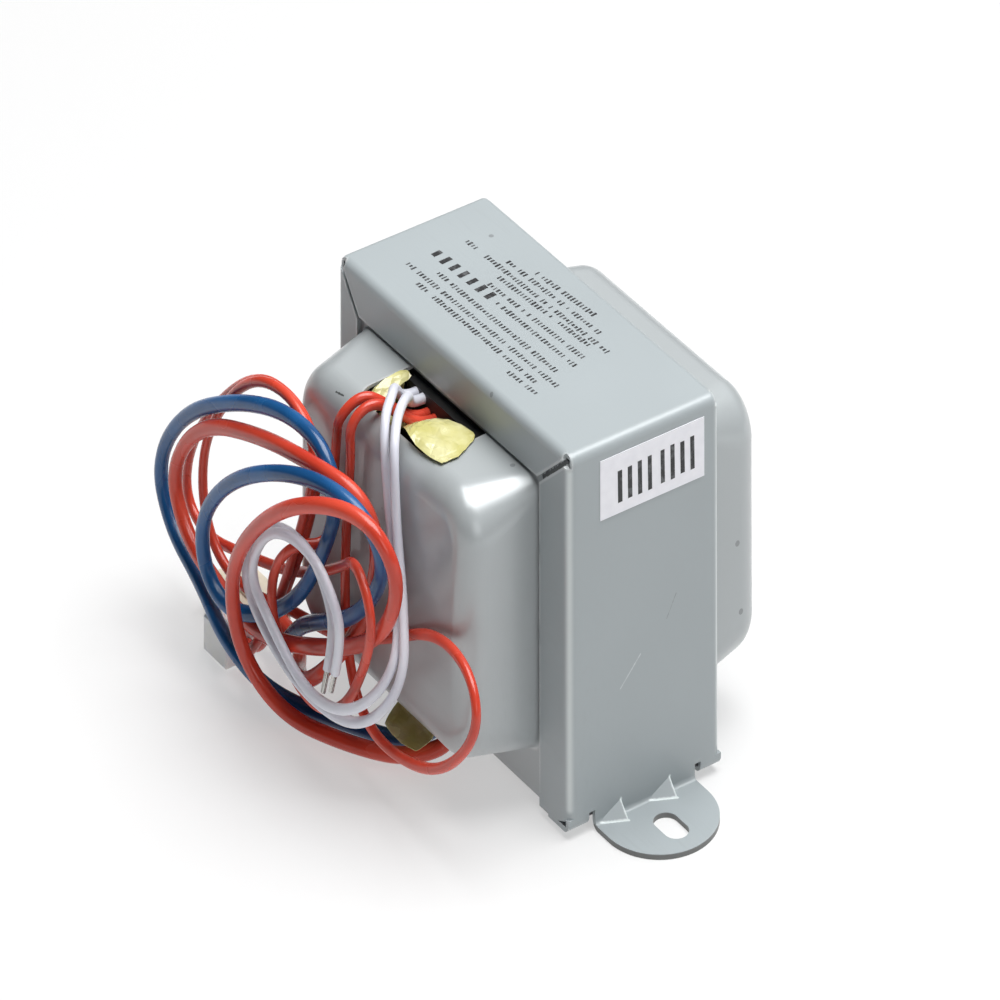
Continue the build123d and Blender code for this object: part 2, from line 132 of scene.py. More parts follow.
def shader_group(name, inputs, output):
    """An empty shader group with a Place vector, inputs {name: default} and its float outputs."""
    tree = bpy.data.node_groups.new(name, "ShaderNodeTree")
    tree.interface.new_socket("Place", in_out="INPUT", socket_type="NodeSocketVector")
    for label, default in inputs.items():
        kind = "NodeSocketVector" if isinstance(default, tuple) else "NodeSocketFloat"
        tree.interface.new_socket(label, in_out="INPUT", socket_type=kind).default_value = default
    for label in output:
        tree.interface.new_socket(label, in_out="OUTPUT", socket_type="NodeSocketFloat")
    return tree, tree.nodes.new("NodeGroupInput").outputs, tree.nodes.new("NodeGroupOutput").inputs


# Shared effects
def paint_film_group():
    """Sprayed paint: a slow change of tone, the fine orange peel of the spray and sparse dark specks."""
    tree, given, out = shader_group(
        "paint_film", {"Peel Scale": 900.0, "Speck Size": 0.1}, ("Mottle", "Peel", "Specks"))
    tree.links.new(clouds(tree, given["Place"], 32.0, 2.0), out["Mottle"])
    tree.links.new(clouds(tree, given["Place"], given["Peel Scale"], 2.0), out["Peel"])
    cells = add(tree, "ShaderNodeTexVoronoi", {"Vector": given["Place"], "Scale": 260.0})
    near = maths(tree, "LESS_THAN", cells.outputs["Distance"], given["Speck Size"])
    rare = maths(tree, "GREATER_THAN", add(
        tree, "ShaderNodeSeparateColor", {0: cells.outputs["Color"]}).outputs[0], 0.95)
    tree.links.new(maths(tree, "MULTIPLY", near, rare), out["Specks"])
    return tree


def edge_wear_and_sheen_group():
    """A broken mask along sharp edges above a height, where handling has rubbed the paint; its light tone is
    also a painted highlight along these edges.
    """
    tree, given, out = shader_group(
        "edge_wear", {"Width": 0.0005, "Breakup": 300.0, "Lowest": 0.0}, ("Wear",))
    rounded = add(tree, "ShaderNodeBevel", {"Radius": given["Width"]}, samples=4)
    plain = add(tree, "ShaderNodeNewGeometry")
    turn = vectors(tree, "DOT_PRODUCT", rounded.outputs[0], plain.outputs["Normal"], "Value")
    edge = graded(tree, turn, 0.995, 0.93)
    ragged = clouds(tree, given["Place"], given["Breakup"], 4.0)
    broken = maths(tree, "MULTIPLY", edge, graded(tree, ragged, 0.3, 0.55))
    height = add(tree, "ShaderNodeSeparateXYZ", {0: given["Place"]}).outputs["Z"]
    above = maths(tree, "GREATER_THAN", height, given["Lowest"])
    tree.links.new(maths(tree, "MULTIPLY", broken, above), out["Wear"])
    return tree


def rub_marks_group():
    """Short faint scuffs that run one way, in soft patches."""
    tree, given, out = shader_group("rub_marks", {"Share": 0.5}, ("Marks",))
    drawn = add(tree, "ShaderNodeMapping", {
        "Vector": given["Place"], "Rotation": (0.5, 0.3, 0.9), "Scale": (1.0, 14.0, 5.0)})
    lines = clouds(tree, drawn.outputs[0], 110.0, 5.0)
    patches = clouds(tree, given["Place"], 30.0, 0.0)
    kept = graded(tree, patches, 0.45, 0.85)
    fine = graded(tree, lines, given["Share"], maths(tree, "ADD", given["Share"], 0.3))
    tree.links.new(maths(tree, "MULTIPLY", fine, kept), out["Marks"])
    return tree


def cut_rim_group():
    """A mask on the upright cut edges of sheet that lies low, where the paint is thin."""
    tree, given, out = shader_group("cut_rim", {"Height": 0.0008}, ("Rim",))
    flat = add(tree, "ShaderNodeNewGeometry").outputs["True Normal"]
    normal = add(tree, "ShaderNodeSeparateXYZ", {0: flat})
    upright = graded(tree, maths(tree, "ABSOLUTE", normal.outputs["Z"]), 0.4, 0.2)
    height = add(tree, "ShaderNodeSeparateXYZ", {0: given["Place"]}).outputs["Z"]
    low = graded(tree, maths(tree, "DIVIDE", height, given["Height"]), 1.02, 0.8)
    tree.links.new(maths(tree, "MULTIPLY", upright, low), out["Rim"])
    return tree


def scratch_and_painted_light_group():
    """One straight mark between two places: a sharp line where it is ragged, else a soft even band; used for
    scores and chips, painted highlights and painted shade.
    """
    tree, given, out = shader_group("scratch_and_painted_light", {
        "From": (0.0, 0.0, 0.0), "To": (0.0, 0.0, 0.01), "Width": 0.0002, "Ragged": 1.0}, ("Mark",))
    run = vectors(tree, "SUBTRACT", given["To"], given["From"])
    away = vectors(tree, "SUBTRACT", given["Place"], given["From"])
    along = maths(tree, "DIVIDE", vectors(tree, "DOT_PRODUCT", away, run, "Value"),
                  vectors(tree, "DOT_PRODUCT", run, run, "Value"))
    held = add(tree, "ShaderNodeClamp", {"Value": along}).outputs[0]
    foot = add(tree, "ShaderNodeVectorMath", {0: run, "Scale": held}, operation="SCALE").outputs[0]
    gap = vectors(tree, "DISTANCE", away, foot, "Value")
    uneven = clouds(tree, given["Place"], 2200.0, 2.0)
    change = maths(tree, "MULTIPLY", given["Ragged"], graded(tree, uneven, 0.3, 0.7, -0.6, 0.3))
    reach = maths(tree, "MULTIPLY", given["Width"], maths(tree, "ADD", change, 1.0))
    sharp = maths(tree, "MULTIPLY", given["Ragged"], 0.5)
    tree.links.new(graded(tree, maths(tree, "DIVIDE", gap, reach), 1.0, sharp), out["Mark"])
    return tree


paint_film = paint_film_group()
edge_wear = edge_wear_and_sheen_group()
rub_marks = rub_marks_group()
cut_rim = cut_rim_group()
scratch_and_painted_light = scratch_and_painted_light_group()


def material(name):
    """A new material: its tree, its shader and the place on the object that its patterns read."""
    made = bpy.data.materials.new(name)
    made.use_nodes = True
    tree = made.node_tree
    shader = tree.nodes["Principled BSDF"]
    place = add(tree, "ShaderNodeTexCoord").outputs["Object"]
    return made, tree, shader, place


def placed(tree, group, place, **values):
    """The outputs of a shared effect placed in a material with its own values."""
    node = add(tree, "ShaderNodeGroup", node_tree=group)
    tree.links.new(place, node.inputs["Place"])
    for name, value in values.items():
        node.inputs[name.replace("_", " ").title()].default_value = value
    return node.outputs


def bumped(tree, height, strength, distance):
    """A normal from a height pattern."""
    return add(tree, "ShaderNodeBump", {
        "Height": height, "Strength": strength, "Distance": distance}).outputs[0]


# Finishes
def painted_steel(name, colour, wear_and_sheen_colour, roughness, gloss, flake, peel, scratches_and_painted_light):
    """Sprayed grey enamel on sheet steel with specks; sharp edges lighter as rubbed paint and painted
    highlight; lines drawn where given: scores, chips, painted highlights and painted shade.
    """
    made, tree, shader, place = material(name)
    film = placed(tree, paint_film, place, peel_scale=peel, speck_size=0.12)
    wear_and_sheen = placed(tree, edge_wear, place, width=0.0008, breakup=300.0, lowest=0.0034)["Wear"]
    marks = placed(tree, rub_marks, place, share=0.5)["Marks"]
    rim = placed(tree, cut_rim, place, height=FOOT_TOP * MM)["Rim"]
    dark = tuple(0.95 * c for c in colour[:3]) + (1.0,)
    coat = blended(tree, graded(tree, film["Mottle"], 0.2, 0.8), dark, colour)
    coat = blended(tree, maths(tree, "MULTIPLY", film["Specks"], 0.45), coat, (0.08, 0.08, 0.08, 1))
    coat = blended(tree, maths(tree, "MULTIPLY", marks, 0.12), coat, (0.2, 0.2, 0.2, 1))
    # Sharp edges lighter: rubbed paint that is also a painted highlight.
    coat = blended(tree, maths(tree, "MULTIPLY", wear_and_sheen, 0.8), coat, wear_and_sheen_colour)
    coat = blended(tree, maths(tree, "MULTIPLY", rim, 0.75), coat, (0.075, 0.07, 0.06, 1))
    # Lines drawn where given: scores and chips, and painted highlights and painted shade.
    for start, end, width, tone, ragged in scratches_and_painted_light:
        mark = placed(tree, scratch_and_painted_light, place, width=width * MM, ragged=ragged,
                      **{"from": [c * MM for c in start], "to": [c * MM for c in end]})["Mark"]
        coat = blended(tree, mark, coat, (0.93 * tone, tone, tone, 1))
    tree.links.new(coat, shader.inputs["Base Color"])
    rough = graded(tree, film["Mottle"], 0.2, 0.8, roughness - 0.03, roughness + 0.04)
    rubbed = maths(tree, "ADD", rough, maths(tree, "MULTIPLY", marks, 0.12))
    tree.links.new(rubbed, shader.inputs["Roughness"])
    tree.links.new(bumped(tree, film["Peel"], 0.1, 0.0001), shader.inputs["Normal"])
    shader.inputs["Metallic"].default_value = flake
    shader.inputs["Coat Weight"].default_value = gloss
    shader.inputs["Coat Roughness"].default_value = 0.26
    return made


def lamination_steel():
    """Bluish silicon steel sheet with rust-brown stains."""
    made, tree, shader, place = material("lamination_steel")
    stains = clouds(tree, place, 90.0, 5.0)
    depth = add(tree, "ShaderNodeSeparateXYZ", {0: place}).outputs["Y"]
    sheet = add(tree, "ShaderNodeTexWhiteNoise", {
        "W": maths(tree, "FLOOR", maths(tree, "MULTIPLY", depth, 2000.0))}, noise_dimensions="1D")
    steel = blended(tree, sheet.outputs["Value"], (0.10, 0.105, 0.115, 1), (0.21, 0.22, 0.23, 1))
    rusted = blended(tree, graded(tree, stains, 0.5, 0.75), steel, (0.11, 0.06, 0.035, 1))
    tree.links.new(rusted, shader.inputs["Base Color"])
    shader.inputs["Metallic"].default_value = 0.8
    tree.links.new(graded(tree, stains, 0.3, 0.7, 0.4, 0.6), shader.inputs["Roughness"])
    tree.links.new(bumped(tree, stains, 0.2, 0.0001), shader.inputs["Normal"])
    return made


def moulded_nylon(name, colour, shade, roughness, see_through=0.0):
    """Moulded nylon with a fine spark-eroded grain and faint flow marks."""
    made, tree, shader, place = material(name)
    flow = clouds(tree, place, 120.0, 3.0, Distortion=0.8)
    grain = clouds(tree, place, 2600.0, 2.0)
    skin = blended(tree, graded(tree, flow, 0.35, 0.7), colour, shade)
    tree.links.new(skin, shader.inputs["Base Color"])
    rough = graded(tree, flow, 0.3, 0.7, roughness - 0.06, roughness + 0.06)
    tree.links.new(rough, shader.inputs["Roughness"])
    tree.links.new(bumped(tree, grain, 0.15, 0.00005), shader.inputs["Normal"])
    shader.inputs["Subsurface Weight"].default_value = see_through
    shader.inputs["Subsurface Radius"].default_value = (0.002, 0.0018, 0.0014)
    return made


def wound_copper():
    """Enamelled copper turns laid side by side."""
    made, tree, shader, place = material("wound_copper")
    turns = add(tree, "ShaderNodeTexWave", {
        "Vector": place, "Scale": 450.0, "Distortion": 0.3}, bands_direction="Z").outputs["Fac"]
    tone = clouds(tree, place, 140.0, 3.0)
    wire = blended(tree, tone, (0.36, 0.12, 0.04, 1), (0.55, 0.23, 0.09, 1))
    tree.links.new(blended(tree, turns, (0.1, 0.03, 0.01, 1), wire), shader.inputs["Base Color"])
    shader.inputs["Metallic"].default_value = 0.9
    tree.links.new(graded(tree, tone, 0.3, 0.7, 0.22, 0.36), shader.inputs["Roughness"])
    tree.links.new(bumped(tree, turns, 0.6, 0.0002), shader.inputs["Normal"])
    return made


def polyester_tape():
    """Yellow polyester coil tape: glossy, crinkled and a little see-through."""
    made, tree, shader, place = material("polyester_tape")
    crinkle = add(tree, "ShaderNodeTexVoronoi", {
        "Vector": place, "Scale": 420.0}, feature="DISTANCE_TO_EDGE").outputs["Distance"]
    tone = clouds(tree, place, 170.0, 3.0)
    film = blended(tree, graded(tree, tone, 0.35, 0.7), (0.60, 0.56, 0.20, 1), (0.78, 0.75, 0.42, 1))
    tree.links.new(film, shader.inputs["Base Color"])
    tree.links.new(graded(tree, tone, 0.3, 0.7, 0.14, 0.3), shader.inputs["Roughness"])
    creased = bumped(tree, graded(tree, crinkle, 0.0, 0.16), 0.2, 0.0002)
    tree.links.new(creased, shader.inputs["Normal"])
    shader.inputs["Transmission Weight"].default_value = 0.18
    shader.inputs["Coat Weight"].default_value = 0.3
    return made


def lead_insulation(name, colour, shade, roughness):
    """Extruded lead insulation: a satin skin with a slow change of tone, faint rub marks and dust."""
    made, tree, shader, place = material(name)
    marks = placed(tree, rub_marks, place, share=0.6)["Marks"]
    tone = clouds(tree, place, 70.0, 2.0)
    skin = blended(tree, graded(tree, tone, 0.35, 0.65), shade, colour)
    dusty = blended(tree, maths(tree, "MULTIPLY", marks, 0.18), skin, (0.5, 0.48, 0.46, 1))
    tree.links.new(dusty, shader.inputs["Base Color"])
    rough = graded(tree, tone, 0.3, 0.7, roughness - 0.05, roughness + 0.06)
    tree.links.new(rough, shader.inputs["Roughness"])
    fine = clouds(tree, place, 1500.0, 2.0)
    tree.links.new(bumped(tree, fine, 0.08, 0.00005), shader.inputs["Normal"])
    return made


def tinned_copper():
    """Solder-dipped copper: bright, lumpy, a little dull where flux was left."""
    made, tree, shader, place = material("tinned_copper")
    lumps = clouds(tree, place, 800.0, 3.0)
    tin = blended(tree, lumps, (0.4, 0.39, 0.36, 1), (0.68, 0.67, 0.65, 1))
    tree.links.new(tin, shader.inputs["Base Color"])
    shader.inputs["Metallic"].default_value = 1.0
    tree.links.new(graded(tree, lumps, 0.3, 0.7, 0.2, 0.38), shader.inputs["Roughness"])
    tree.links.new(bumped(tree, lumps, 0.3, 0.0001), shader.inputs["Normal"])
    return made


def label_paper():
    """Plain white label paper with fibres."""
    made, tree, shader, place = material("label_paper")
    fibres = clouds(tree, place, 700.0, 5.0)
    sheet = blended(tree, fibres, (0.80, 0.80, 0.85, 1), (0.92, 0.92, 0.96, 1))
    tree.links.new(sheet, shader.inputs["Base Color"])
    tree.links.new(graded(tree, fibres, 0.3, 0.7, 0.5, 0.65), shader.inputs["Roughness"])
    tree.links.new(bumped(tree, fibres, 0.1, 0.00005), shader.inputs["Normal"])
    return made


def printing_ink():
    """Thin black ink, greyer where it covers less."""
    made, tree, shader, place = material("printing_ink")
    cover = clouds(tree, place, 900.0, 3.0)
    ink = blended(tree, graded(tree, cover, 0.45, 0.75), (0.02, 0.02, 0.022, 1), (0.12, 0.125, 0.13, 1))
    tree.links.new(ink, shader.inputs["Base Color"])
    tree.links.new(graded(tree, cover, 0.3, 0.7, 0.4, 0.6), shader.inputs["Roughness"])
    return made


# Marks in the paint, scores and chips as well as painted highlights and painted shade: from, to and width in
# millimetres, tone, raggedness
WALL_SCRATCHES = [
    ((WALL_FACE, -0.9, 23.4), (WALL_FACE, -5.0, 19.5), 0.12, 0.6, 1.0),
    ((WALL_FACE, 6.3, 30.2), (WALL_FACE, 4.4, 27.0), 0.08, 0.25, 1.0)]
# Painted highlights: light lines along each gusset's upright ridge and its long lower edge.
PAINTED_GUSSET_HIGHLIGHTS = []
for ridge in (-GUSSET_SPACING / 2, GUSSET_SPACING / 2):
    tip = (WALL_FACE + GUSSET_HEIGHT, ridge, FOOT_TOP)
    for root in ((WALL_FACE, ridge, FOOT_TOP + GUSSET_HEIGHT), (WALL_FACE, ridge - GUSSET_RUN, FOOT_TOP)):
        PAINTED_GUSSET_HIGHLIGHTS.append((root, tip, 0.36, 0.8, 0.4))
# Painted highlights: soft even light bands along the right wall's two upright folds.
fold_inset = BEND_RADIUS * (1 - math.sqrt(0.5))
fold_x = WALL_FACE - fold_inset
fold_y = LIP_FACE - fold_inset
PAINTED_FOLD_HIGHLIGHTS = [((fold_x, y, 4.5), (fold_x, y, 55.0), 0.95, 0.66, 0.0) for y in (-fold_y, fold_y)]
# Painted shade: near-black lines on the front bell's flange inside the mitre gaps of the frame's top corners.
PAINTED_MITRE_SHADE = [
    ((sign * (WALL_FACE - BEND_RADIUS / 2), -FLANGE_FACE, FRAME_TOP - BEND_RADIUS / 2),
     (sign * (WALL_FACE - lip), -FLANGE_FACE, FRAME_TOP - LIP_TOP), 0.6, 0.03, 1.0)
    for sign, lip in ((1, LIP_WIDE), (-1, LIP_NARROW))]
BELL_CHIPS = [
    ((-15.8, -27.6, 48.6), (-13.9, -27.4, 48.8), 0.2, 0.09, 1.0),
    ((27.0, 23.6, 48.9), (26.6, 24.6, 48.3), 0.2, 0.12, 1.0)]

frame_enamel = painted_steel(
    "frame_enamel", (0.37, 0.41, 0.425, 1), (0.7, 0.72, 0.72, 1), 0.38, 0.25, 0.05, 900.0,
    WALL_SCRATCHES + PAINTED_GUSSET_HIGHLIGHTS + PAINTED_FOLD_HIGHLIGHTS)
bell_enamel = painted_steel(
    "bell_enamel", (0.42, 0.45, 0.46, 1), (0.6, 0.6, 0.6, 1), 0.33, 0.5, 0.15, 700.0,
    BELL_CHIPS + PAINTED_MITRE_SHADE)
core_finish = lamination_steel()
bobbin_finish = moulded_nylon("bobbin_nylon", (0.012, 0.012, 0.013, 1), (0.02, 0.02, 0.021, 1), 0.5)
copper_finish = wound_copper()
tape_finish = polyester_tape()
label_finish = label_paper()
ink_finish = printing_ink()
orange_finish = lead_insulation("orange_insulation", (0.66, 0.07, 0.038, 1), (0.55, 0.048, 0.026, 1), 0.26)
blue_finish = lead_insulation("blue_insulation", (0.015, 0.105, 0.29, 1), (0.011, 0.07, 0.2, 1), 0.26)
white_finish = lead_insulation("white_insulation", (0.76, 0.77, 0.84, 1), (0.66, 0.67, 0.75, 1), 0.32)
tinned_finish = tinned_copper()
white_housing = moulded_nylon(
    "white_housing_nylon", (0.93, 0.93, 0.92, 1), (0.86, 0.86, 0.84, 1), 0.32, 0.4)
beige_housing = moulded_nylon(
    "beige_housing_nylon", (0.74, 0.68, 0.55, 1), (0.66, 0.60, 0.47, 1), 0.42, 0.15)

NODE_FINISH = {
    "channel_frame": frame_enamel, "front_bell": bell_enamel, "rear_bell": bell_enamel,
    "bobbin": bobbin_finish, "side_label": label_finish,
    "primary_winding": copper_finish, "inner_secondary": copper_finish, "outer_secondary": copper_finish,
    "primary_tape": tape_finish, "secondary_layer_tape": tape_finish, "secondary_outer_tape": tape_finish,
    "front_connector": white_housing, "rear_connector": beige_housing,
    "front_contact_1": tinned_finish, "front_contact_2": tinned_finish,
    "rear_contact_1": tinned_finish, "rear_contact_2": tinned_finish,
}
for node_name, finish in NODE_FINISH.items():
    for material_slot in nodes[node_name].material_slots:
        material_slot.material = finish


# Geometry helpers
def geometry_tree(name, inputs):
    """An empty geometry tree with named inputs {name: (socket type, default)} and a Finish."""
    tree = bpy.data.node_groups.new(name, "GeometryNodeTree")
    tree.interface.new_socket("Geometry", in_out="INPUT", socket_type="NodeSocketGeometry")
    for label, (kind, default) in inputs.items():
        tree.interface.new_socket(label, in_out="INPUT", socket_type=kind).default_value = default
    tree.interface.new_socket("Finish", in_out="INPUT", socket_type="NodeSocketMaterial")
    tree.interface.new_socket("Geometry", in_out="OUTPUT", socket_type="NodeSocketGeometry")
    return tree, tree.nodes.new("NodeGroupInput").outputs, tree.nodes.new("NodeGroupOutput").inputs


def finished(tree, given, out, geometry):
    """Ends a tree: instances made real and given the finish."""
    real = add(tree, "GeometryNodeRealizeInstances", {"Geometry": geometry}).outputs[0]
    coated = add(tree, "GeometryNodeSetMaterial", {"Geometry": real, "Material": given["Finish"]}).outputs[0]
    tree.links.new(coated, out["Geometry"])


def baked(source, name):
    """The mesh that an object's modifiers make; the object itself is taken away."""
    bpy.context.scene.collection.objects.link(source)
    bpy.context.view_layer.update()
    lasting = bpy.context.evaluated_depsgraph_get()
    mesh = bpy.data.meshes.new_from_object(source.evaluated_get(lasting), depsgraph=lasting)
    mesh.name = name
    bpy.data.objects.remove(source)
    return mesh


def grown(name, source, tree, **values):
    """The mesh that a geometry tree makes from source data with its named inputs set."""
    carrier = bpy.data.objects.new(name + "_source", source)
    modifier = carrier.modifiers.new("grow", "NODES")
    modifier.node_group = tree
    for socket in tree.interface.items_tree:
        key = socket.name.lower().replace(" ", "_")
        if socket.in_out == "INPUT" and key in values:
            modifier[socket.identifier] = values[key]
    return baked(carrier, name)


def outlined(name, points, edges):
    """A mesh of points and edges alone, in metres."""
    mesh = bpy.data.meshes.new(name)
    mesh.from_pydata(points, edges, [])
    return mesh


def fitted(name, mesh, finish_slot, *stands_for):
    """A finished piece of the transformer, in the place of the nodes that it stands for."""
    piece = bpy.data.objects.new(name, mesh)
    bpy.context.scene.collection.objects.link(piece)
    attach(piece, "root")
    if stands_for:
        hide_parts(*stands_for)
    return piece


# Laminations
def sheet_stack_tree():
    """Copies of one punched sheet side by side along Y, each a little out of line."""
    tree, given, out = geometry_tree("sheet_stack", {
        "Sheets": ("NodeSocketInt", 56), "Pitch": ("NodeSocketFloat", 0.0005),
        "Play": ("NodeSocketFloat", 0.00005), "Seed": ("NodeSocketInt", 1)})
    step = add(tree, "ShaderNodeCombineXYZ", {"Y": given["Pitch"]}).outputs[0]
    line = add(tree, "GeometryNodeMeshLine", {"Count": given["Sheets"], "Offset": step}).outputs[0]
    back = maths(tree, "MULTIPLY", given["Play"], -1.0)
    least = add(tree, "ShaderNodeCombineXYZ", {"X": back}).outputs[0]
    most = add(tree, "ShaderNodeCombineXYZ", {"X": given["Play"], "Z": given["Play"]}).outputs[0]
    shaken = add(tree, "FunctionNodeRandomValue", {
        0: least, 1: most, "Seed": given["Seed"]}, data_type="FLOAT_VECTOR").outputs[0]
    points = add(tree, "GeometryNodeSetPosition", {"Geometry": line, "Offset": shaken}).outputs[0]
    stack = add(tree, "GeometryNodeInstanceOnPoints", {
        "Points": points, "Instance": given["Geometry"]}).outputs[0]
    finished(tree, given, out, stack)
    return tree


def punched_sheet(name, outline):
    """One lamination sheet from its outline of X and Z points in millimetres, at the stack's front."""
    count = len(outline)
    front = -STACK / 2
    points = [(x * MM, y * MM, z * MM) for y in (front, front + SHEET_THICK) for x, z in outline]
    faces = [tuple(range(count)), tuple(range(2 * count - 1, count - 1, -1))]
    faces += [(i, i + count, (i + 1) % count + count, (i + 1) % count) for i in range(count)]
    mesh = bpy.data.meshes.new(name)
    mesh.from_pydata(points, [], faces)
    mesh.validate()
    return mesh


sheet_stack = sheet_stack_tree()
side = LAM_WIDTH / 2 - CORE_MARGIN
split = CORE_BOTTOM + LAM_HEIGHT - LEG
low_edge = CORE_BOTTOM + CORE_LIFT
window_low = CORE_BOTTOM + LEG
top_edge = split + LEG - CORE_MARGIN
e_outline = [
    (-side, low_edge), (side, low_edge), (side, split), (side - LEG, split), (side - LEG, window_low),
    (LEG, window_low), (LEG, split), (-LEG, split), (-LEG, window_low), (LEG - side, window_low),
    (LEG - side, split), (-side, split)]
i_outline = [(-side, split), (side, split), (side, top_edge), (-side, top_edge)]
for node_name, outline, seed in (("e_laminations", e_outline, 3), ("i_laminations", i_outline, 8)):
    stack = grown(node_name + "_sheets", punched_sheet(node_name + "_sheet", outline), sheet_stack,
                  sheets=SHEET_COUNT, pitch=STACK / SHEET_COUNT * MM, play=SHEET_PLAY * MM, seed=seed,
                  finish=core_finish)
    fitted(node_name + "_sheets", stack, "core_steel", node_name)


# Print on the frame and on the label
def print_tree():
    """Small dark blocks set in rows along the edges that it is given, with gaps between groups."""
    tree, given, out = geometry_tree("print_blocks", {
        "Pitch": ("NodeSocketFloat", 0.001), "Block Width": ("NodeSocketFloat", 0.0006),
        "Block Height": ("NodeSocketFloat", 0.0012), "Unevenness": ("NodeSocketFloat", 0.0),
        "Filled": ("NodeSocketFloat", 1.0), "Seed": ("NodeSocketInt", 1)})
    line = add(tree, "GeometryNodeMeshToCurve", {"Mesh": given["Geometry"]}).outputs[0]
    spots = add(tree, "GeometryNodeCurveToPoints", {"Curve": line, "Length": given["Pitch"]}, mode="LENGTH")
    block = add(tree, "GeometryNodeMeshGrid", {
        "Size X": given["Block Width"], "Size Y": given["Block Height"],
        "Vertices X": 2, "Vertices Y": 2}).outputs[0]
    least = maths(tree, "SUBTRACT", 1.0, given["Unevenness"])
    low = add(tree, "ShaderNodeCombineXYZ", {"X": least, "Y": least, "Z": 1.0}).outputs[0]
    uneven = add(tree, "FunctionNodeRandomValue", {
        0: low, 1: (1.0, 1.0, 1.0), "Seed": given["Seed"]}, data_type="FLOAT_VECTOR").outputs[0]
    kept = add(tree, "FunctionNodeRandomValue", {
        "Probability": given["Filled"], "Seed": given["Seed"]}, data_type="BOOLEAN").outputs[3]
    turned = add(tree, "FunctionNodeAlignRotationToVector", {
        "Vector": spots.outputs["Tangent"]}, axis="X").outputs[0]
    rows = add(tree, "GeometryNodeInstanceOnPoints", {
        "Points": spots.outputs["Points"], "Selection": kept, "Instance": block,
        "Rotation": turned, "Scale": uneven}).outputs[0]
    finished(tree, given, out, rows)
    return tree


print_blocks = print_tree()
TOP_ROWS = [
    (-10.1, 9.3, 4.6, 10.5), (-16.2, 7.1, 9.9, 8.4), (-24.9, 4.7, 14.9, 6.5), (-12.8, 3.4, 10.8, 5.0),
    (-12.2, 1.0, 13.0, 2.3), (-7.1, -0.9, 14.0, -0.1), (-19.6, -4.3, 13.4, -3.5), (-24.7, -7.0, 16.8, -5.7),
    (-19.9, -8.8, 13.8, -8.0), (9.3, -10.1, 17.2, -9.6)]
HEADING_ROW = [(-24.3, -1.4, -9.6, -0.7)]
LABEL_ROWS = [(-5.05, 50.2, 0.96, 50.3), (3.55, 50.4, 9.56, 50.5)]


def printed(name, rows, placing, slot_name, **values):
    """Printed blocks along straight rows (x0, y0, x1, y1) of a flat plan in millimetres, set in place."""
    points = [(x * MM, y * MM, 0) for x0, y0, x1, y1 in rows for x, y in ((x0, y0), (x1, y1))]
    edges = [(2 * i, 2 * i + 1) for i in range(len(rows))]
    mesh = grown(name, outlined(name + "_rows", points, edges), print_blocks, finish=ink_finish, **values)
    mesh.transform(placing)
    return fitted(name, mesh, slot_name)


above_top = Matrix.Translation((0, 0, (FRAME_TOP + INK_LIFT) * MM))
on_label = Matrix(((0, 0, 1, (LABEL_FACE + INK_LIFT) * MM), (1, 0, 0, 0), (0, 1, 0, 0), (0, 0, 0, 1)))
printed("top_print", TOP_ROWS, above_top, "frame_paint", pitch=0.00076, block_width=0.00048,
        block_height=0.0012, unevenness=0.5, filled=0.86, seed=5)
printed("top_print_heading", HEADING_ROW, above_top, "frame_paint", pitch=0.0022, block_width=0.0011,
        block_height=0.0023, unevenness=0.2, filled=1.0, seed=2)
printed("label_print", LABEL_ROWS, on_label, "label_paper", pitch=0.002, block_width=0.0009,
        block_height=0.0053, unevenness=0.12, filled=1.0, seed=1)


# Coil tape ends
def smooth_place(points, share):
    """A place on the smooth curve through a list of points, share from 0 to 1."""
    span = share * (len(points) - 1)
    i = min(int(span), len(points) - 2)
    t = span - i
    p1 = Vector(points[i])
    p2 = Vector(points[i + 1])
    p0 = Vector(points[i - 1]) if i else 2 * p1 - p2
    p3 = Vector(points[i + 2]) if i + 2 < len(points) else 2 * p2 - p1
    return 0.5 * (2 * p1 + (p2 - p0) * t + (2 * p0 - 5 * p1 + 4 * p2 - p3) * t ** 2
                  + (3 * p1 - p0 - 3 * p2 + p3) * t ** 3)


def bent_sheet(name, rows, fine, crumple, node):
    """A creased end of tape through rows of control points in millimetres, fine facets to each span."""
    down = fine * (len(rows) - 1) + 1
    across = fine * (len(rows[0]) - 1) + 1
    points = []
    for a in range(down):
        for b in range(across):
            along_rows = [smooth_place(row, b / (across - 1)) for row in rows]
            place = smooth_place(along_rows, a / (down - 1))
            points.append((place + crumple * noise.noise_vector(place * 0.8)) * MM)
    faces = []
    for a in range(down - 1):
        for b in range(across - 1):
            p = a * across + b
            q = p + across
            if (a + b) % 2:
                faces += [(p, p + 1, q + 1), (p, q + 1, q)]
            else:
                faces += [(p, p + 1, q), (p + 1, q + 1, q)]
    mesh = bpy.data.meshes.new(name)
    mesh.from_pydata(points, [], faces)
    mesh.materials.append(tape_finish)
    sheet = bpy.data.objects.new(name + "_source", mesh)
    skin = sheet.modifiers.new("thickness", "SOLIDIFY")
    skin.thickness = TAPE_THICK * MM
    return fitted(name, baked(sheet, name), "coil_tape", node)


